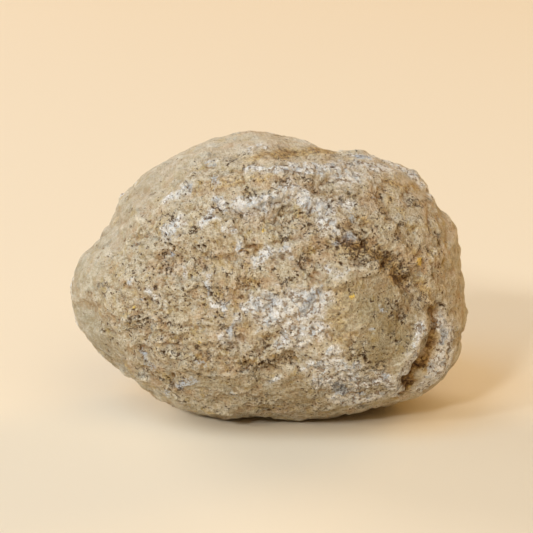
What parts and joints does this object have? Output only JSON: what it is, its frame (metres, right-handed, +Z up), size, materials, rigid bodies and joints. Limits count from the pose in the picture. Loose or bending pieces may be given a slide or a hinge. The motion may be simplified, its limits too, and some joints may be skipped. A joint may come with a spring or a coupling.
{
  "type": "geode",
  "caption": "Whole, unopened geode: one rough egg-shaped stone with a blunt nose, knobbed back and worn flat base, rests as a display or crack-open specimen.",
  "frame": {"origin": "on the worn flat that the stone rests on, straight under the heart, the point that its radii are measured from", "axes": "+Z up; +X from the blunt nose to the heel, along the length; -Y towards the ledged face"},
  "size_m": [0.0884, 0.0636, 0.0625],
  "materials": {
    "rind": "rough, dull weathered crust, tan with chalky white, grey and ochre patches"
  },
  "bodies": {
    "root": {"geode": "rind"}
  },
  "joints": []
}
